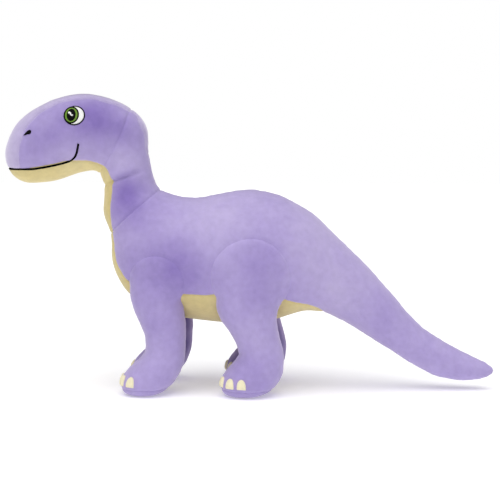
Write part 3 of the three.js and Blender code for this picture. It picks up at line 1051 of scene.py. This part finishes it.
def spline(path, count):
    """A smooth closed or open line through the points of a path."""
    path = np.array(path, float)
    at = np.linspace(0, len(path) - 1, count)
    whole = np.clip(at.astype(int), 0, len(path) - 2)
    t = (at - whole)[:, None]
    before = path[np.maximum(whole - 1, 0)]
    start, end = path[whole], path[whole + 1]
    after = path[np.minimum(whole + 2, len(path) - 1)]
    return 0.5 * (2 * start + (end - before) * t
                  + (2 * before - 5 * start + 4 * end - after) * t ** 2
                  + (3 * start - before - 3 * end + after) * t ** 3)


def ellipse(half_length, half_height, centre=(0, 0), count=48):
    turns = np.linspace(0, 2 * math.pi, count, endpoint=False)
    return [(centre[0] + half_length * math.cos(t), centre[1] + half_height * math.sin(t))
            for t in turns]


def patch(name, tree, origin, across, out, outline, height, material, rim=0.85):
    """A raised shape laid on the cloth: outline gives (across, up) points round `origin`."""
    outline = np.array(outline)
    centre = outline.mean(axis=0)
    vertices, faces = [], []
    count = len(outline)
    shares = [ring / PATCH_RINGS for ring in range(1, PATCH_RINGS + 1)] + [1.0]
    rings = [outline * share + centre * (1 - share) for share in shares]
    lifts = [height * (rim + (1 - rim) * (1 - share ** 2.5) ** 0.5) for share in shares]
    lifts[-1] = -0.0005
    for ring, lift in [([centre], height)] + list(zip(rings, lifts)):
        for u, v in ring:
            point = origin + across * u + UP * v
            hit, normal, _, _ = tree.ray_cast(point + out * 0.2, -out)
            vertices.append(hit + normal * lift)
    for side in range(count):
        faces.append((0, 1 + side, 1 + (side + 1) % count))
    for ring in range(len(rings) - 1):
        for side in range(count):
            a, b = 1 + ring * count + side, 1 + ring * count + (side + 1) % count
            faces.append((a, a + count, b + count, b))
    made = object_from(name, vertices, faces)
    made.data.materials.append(material)
    facing = made.data.polygons[0].normal.dot(out)
    if facing < 0:
        made.data.flip_normals()
    return made


EYE_SHIFT = 0.0022  # of the embroidered eye, backwards from the frame's
EYE_HALF_LENGTH = 0.0128
EYE_HALF_HEIGHT = 0.0116
EYE_RIM = 0.0014
IRIS_AT = (-0.0037, 0.0004)
GLINT_ENDS = ((-0.0062, 0.0030), (-0.0026, 0.0000))


def eye(side, tree):
    """Layers of satin stitch: outline, white, iris ring, iris, pupil and a glint."""
    node = "eye_left" if side < 0 else "eye_right"
    origin = middle(node) + Vector((EYE_SHIFT, 0, 0))
    origin.y = 0
    out = ACROSS * side
    # Each layer's outline, how high it stands off the cloth, and its thread.
    layers = [
        ("outline", ellipse(EYE_HALF_LENGTH, EYE_HALF_HEIGHT), 0.0005, BLACK_THREAD),
        ("white", ellipse(EYE_HALF_LENGTH - EYE_RIM, EYE_HALF_HEIGHT - EYE_RIM), 0.0008, WHITE_THREAD),
        ("iris_ring", ellipse(0.0094, 0.0101, IRIS_AT), 0.0010, BLACK_THREAD),
        ("iris", ellipse(0.0077, 0.0085, IRIS_AT), 0.0012, GREEN_THREAD),
        ("pupil", ellipse(0.0055, 0.0072, IRIS_AT), 0.0014, BLACK_THREAD),
        ("glint_upper", ellipse(0.0015, 0.0013, GLINT_ENDS[0], 16), 0.0017, WHITE_THREAD),
        ("glint_lower", ellipse(0.0012, 0.0010, GLINT_ENDS[1], 16), 0.0017, WHITE_THREAD),
        ("glint_bar", ellipse(0.0009, 0.0018, (-0.0044, 0.0015), 16), 0.0016, WHITE_THREAD),
    ]
    for layer, outline, height, material in layers:
        piece = patch(f"{node}_{layer}", tree, origin, BACK, out, outline, height, material)
        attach(piece, "head")
    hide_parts(node)


# A drop that points forwards and down.
NOSTRIL = [(-0.0058, -0.0052), (-0.0026, -0.0014), (0.0008, 0.0010), (0.0030, 0.0008),
           (0.0038, -0.0014), (0.0022, -0.0034), (-0.0012, -0.0040), (-0.0058, -0.0052)]


def nostril(side, tree):
    node = "nostril_left" if side < 0 else "nostril_right"
    origin = middle(node)
    origin.y = 0
    outline = spline(NOSTRIL, 33)[:-1]
    piece = patch(node + "_stitch", tree, origin, BACK, ACROSS * side, outline, 0.0009, BLACK_THREAD)
    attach(piece, "head")
    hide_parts(node)


MOUTH_SIDE = [
    (-0.2035, 0.3015), (-0.2080, 0.2870), (-0.2180, 0.2798), (-0.2400, 0.2742), (-0.2620, 0.2706)]
MOUTH_FRONT = MOUTH_SIDE[-1]  # where the line starts round the muzzle, and the middle of its turn
MOUTH_HALF_WIDTH = 0.0013
MOUTH_HEIGHT = 0.0009
STITCH_PITCH = 0.0011
CORD_SIDES = 10


def mouth_path(tree):
    """The smile, from its left corner round the muzzle to the right corner, with the normals."""
    side = [Vector((x, 0, z)) for x, z in spline(MOUTH_SIDE, 90)]
    rays = [(origin, -ACROSS) for origin in side]
    centre = Vector((MOUTH_FRONT[0], 0, MOUTH_FRONT[1]))
    for turn in np.radians(np.arange(88, -89, -2)):
        rays.append((centre, Vector((-math.cos(turn), -math.sin(turn), 0))))
    rays += [(origin, ACROSS) for origin in reversed(side)]
    found = []
    for origin, direction in rays:
        hit, normal, _, _ = tree.ray_cast(origin + direction * 0.2, -direction)
        found.append((*hit, *normal))
    return np.array(found)


def satin_cord(name, line, half_width, height, material):
    """A raised line of slanted stitches over a path of points and normals."""
    line = resample(line, STITCH_PITCH / 4)
    points, normals = line[:, :3], line[:, 3:]
    normals /= np.linalg.norm(normals, axis=1)[:, None]
    along = np.gradient(points, axis=0)
    along /= np.linalg.norm(along, axis=1)[:, None]
    beside = np.cross(along, normals)
    length = len(points)
    turns = np.linspace(0, 2 * math.pi, CORD_SIDES, endpoint=False)
    vertices = []
    for i in range(length):
        taper = min(1, 0.15 + min(i, length - 1 - i) / 12)
        for turn in turns:
            ridge = 1 + 0.10 * math.sin(math.pi * i / 2 + 1.2 * math.cos(turn))
            sideways = half_width * taper * math.cos(turn)
            outward = height * taper * ridge * math.sin(turn)
            vertices.append(points[i] + beside[i] * sideways + normals[i] * outward)
    faces = ring_faces(length, CORD_SIDES)
    faces.append(tuple(range(CORD_SIDES))[::-1])
    faces.append(tuple(range((length - 1) * CORD_SIDES, length * CORD_SIDES)))
    made = object_from(name, vertices, faces)
    made.data.materials.append(material)
    return made


def mouth(tree):
    line = mouth_path(tree)
    line[:, :3] = soften(line[:, :3], 3)
    piece = satin_cord("smile_stitch", line, MOUTH_HALF_WIDTH, MOUTH_HEIGHT, BLACK_THREAD)
    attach(piece, "head")
    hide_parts("mouth_stitch")


TOE_HALF_WIDTH = 0.0055
TOE_HEIGHT = 0.0120
TOE_PUFF = 0.0026


def toe_outline():
    """Flat along the bottom, rounded over the top."""
    base = [(share * TOE_HALF_WIDTH, -TOE_HEIGHT / 2) for share in np.linspace(-0.94, 0.94, 9)]
    arch = []
    for turn in np.radians(np.linspace(0, 180, 31)):
        rise = math.sin(turn) ** 0.8
        arch.append((TOE_HALF_WIDTH * math.cos(turn), -TOE_HEIGHT * 0.40 + TOE_HEIGHT * 0.9 * rise))
    return base + arch


def toes(leg, tree):
    sole_low, sole_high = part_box(leg + "_sole")
    foot = (sole_low + sole_high) / 2
    for number in (1, 2, 3):
        node = f"{leg}_toe_{number}"
        origin = middle(node)
        out = Vector((origin.x - foot.x, origin.y - foot.y, 0)).normalized()
        across = UP.cross(out)
        piece = patch(
            node + "_patch", tree, origin, across, out, toe_outline(), TOE_PUFF, TOE_CREAM, rim=0.25)
        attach(piece, leg)
        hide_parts(node)


# ---- the build

# A fold across the neck, measured from the head's hinge.
NECK_FOLD = ((-0.018, -0.058), (0.010, -0.047), (0.040, -0.038))
# Small wrinkles across the tail where it bends: place from the hinge, and half length.
TAIL_WRINKLES = [
    (0.014, -0.004, 0.010), (0.021, -0.011, 0.012), (0.028, -0.013, 0.011), (0.036, -0.020, 0.010),
    (-0.060, 0.030, 0.012), (-0.050, 0.026, 0.010)]
# Folds across the front of each ankle, measured from the middle of the sole.
ANKLE_FOLDS = {
    "front": [
        [(-0.036, 0.066), (-0.024, 0.062), (-0.012, 0.064)],
        [(-0.034, 0.052), (-0.022, 0.050), (-0.008, 0.054)]],
    "hind": [[(-0.030, 0.054), (-0.016, 0.050), (-0.002, 0.056)]],
}

sections = trunk_sections()
trunk = trunk_skin(sections)
trunk_tree = tree_of(trunk)
legs = {leg: leg_skin(leg, leg_sections(leg), trunk_tree) for leg in LEGS}
leg_trees = {leg: tree_of(skin) for leg, skin in legs.items()}

points = points_of(trunk)
neck_fold = [(HEAD_HINGE.x + dx, HEAD_HINGE.z + dz) for dx, dz in NECK_FOLD]
relief = seam_relief(points, seam_points(trunk, is_trunk_seam)) + unevenness(points)
relief += crease(points, neck_fold, 0.0040, 0.0027)
for dx, dz, run in TAIL_WRINKLES:
    at = TIP_HINGE + Vector((dx, 0, dz))
    path = [(at.x - 0.4 * run, at.z + run), (at.x, at.z), (at.x + 0.5 * run, at.z - run)]
    relief += crease(points, path, 0.0007, 0.0017)
relief += valley(points, leg_trees.values())
press(trunk, relief)
for leg, skin in legs.items():
    points = points_of(skin)
    relief = seam_relief(points, seam_points(skin, lambda a, b: True)) + unevenness(points)
    foot_x = middle(leg + "_sole").x
    for fold in ANKLE_FOLDS[leg.split("_")[0]]:
        relief += crease(points - (foot_x, 0, 0), fold, 0.0011, 0.0024)
    press(skin, relief + valley(points, [trunk_tree]))

trunk_tree = tree_of(trunk)
for side in (-1, 1):
    eye(side, trunk_tree)
    nostril(side, trunk_tree)
mouth(trunk_tree)



def finish_padded(piece, material, slot, *nodes):
    """What every stuffed piece has: a material, and the nodes it replaces hidden. The slot argument is
    not used.
    """
    piece.data.materials.append(material)
    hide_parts(*nodes)


panels = panel_objects(trunk, PANEL_ORDER, normals_of(trunk), {})
for name, piece in panels.items():
    is_cream = name in CREAM_PANELS
    is_band = name.endswith("band")
    # The bands on top take the paler purple, partly for their nap and partly as painted light.
    material = CREAM if is_cream else PALE_PURPLE if is_band else PURPLE
    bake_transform(piece)
    finish_padded(piece, material, "cream_cloth" if is_cream else "purple_cloth", *TRUNK_PANELS[name])

for leg, skin in legs.items():
    toes(leg, tree_of(skin))
    names = [f"{leg}_outer_cover", f"{leg}_inner_cover", f"{leg}_sole_cover"]
    covers = panel_objects(skin, names, normals_of(skin), {names[1]: inner_painted_shade(leg, skin)})
    for name, node in zip(names, ("outer_panel", "inner_panel", "sole")):
        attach(covers[name], leg)
        # The inner covers take the painted-shade velour.
        material = SHADED_PURPLE if node == "inner_panel" else PURPLE
        finish_padded(covers[name], material, "purple_cloth", f"{leg}_{node}")

# The fibre inside, which no view shows.
STUFFING_INSET = 0.006
spine, normals, harmonics = sections
in_head = head_seam_field(spine) < 0
in_neck = ~in_head & ((spine - np.array(NECK_HINGE)) @ np.array(NECK_SEAM_FACING) < 0)
in_tail = (spine - np.array(TAIL_SPLIT)) @ np.array(TAIL_DIRECTION) > 0
in_body = ~in_head & ~in_neck & ~in_tail
stuffing_rows = {
    "head": (in_head, ["head_fill"]),
    "neck": (in_neck, ["neck_fill"]),
    "body": (in_body, ["torso_fill"]),
    "tail": (in_tail, ["tail_base_fill", "tail_tip_fill"]),
}
for part, (rows, nodes) in stuffing_rows.items():
    shape = spine[rows], normals[rows], harmonics[rows]
    filling = tube(part + "_stuffing", *shape, True, sides=24, inset=STUFFING_INSET)
    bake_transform(filling)
    finish_padded(filling, FIBRE, "fibre_fill", *nodes)
for leg in LEGS:
    filling = tube(leg + "_stuffing", *leg_sections(leg), False, sides=20, inset=STUFFING_INSET)
    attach(filling, leg)
    finish_padded(filling, FIBRE, "fibre_fill", leg + "_fill")


# ---- studio

CAMERA_DISTANCE = 1.5
CAMERA_PITCH = math.radians(5.5)
CAMERA_TURN = math.radians(3)  # towards the tail
CAMERA_TARGET = Vector((0, 0, 0.171))

scene = bpy.context.scene
scene.view_settings.view_transform = "Standard"
camera = bpy.data.objects.new("camera", bpy.data.cameras.new("camera"))
camera.data.lens = 87.8
camera.data.sensor_width = 36
camera.location = CAMERA_TARGET + CAMERA_DISTANCE * Vector((
    math.sin(CAMERA_TURN) * math.cos(CAMERA_PITCH),
    -math.cos(CAMERA_TURN) * math.cos(CAMERA_PITCH),
    math.sin(CAMERA_PITCH)))
camera.rotation_euler = (CAMERA_TARGET - camera.location).to_track_quat("-Z", "Y").to_euler()
scene.collection.objects.link(camera)
scene.camera = camera

floor = object_from("floor", [(-6, -6, 0), (6, -6, 0), (6, 6, 0), (-6, 6, 0)], [(0, 1, 2, 3)])
floor.data.materials.append(new_material("pale_floor", {
    "Base Color": (0.9, 0.9, 0.9, 1),
    "Roughness": 0.9,
    "Emission Color": (1, 1, 1, 1),
    "Emission Strength": 0.28,
})[0])

world = bpy.data.worlds.new("studio")
scene.world = world
world.use_nodes = True
nodes, links = world.node_tree.nodes, world.node_tree.links
background = nodes["Background"].inputs
background["Color"].default_value = (1, 1, 1, 1)
# The backdrop is white, and lights the toy with only a part of that.
seen = nodes.new("ShaderNodeLightPath")
strength = add_node(nodes, "ShaderNodeMapRange", {"To Min": 0.26, "To Max": 1.0})
links.new(seen.outputs["Is Camera Ray"], strength.inputs["Value"])
links.new(strength.outputs["Result"], background["Strength"])

light = bpy.data.lights.new("overhead", "SUN")
light.energy = 2.5
light.angle = math.radians(70)
overhead = bpy.data.objects.new("overhead", light)
overhead.rotation_euler = Vector((0.06, 0.34, -1)).to_track_quat("-Z", "Y").to_euler()
scene.collection.objects.link(overhead)
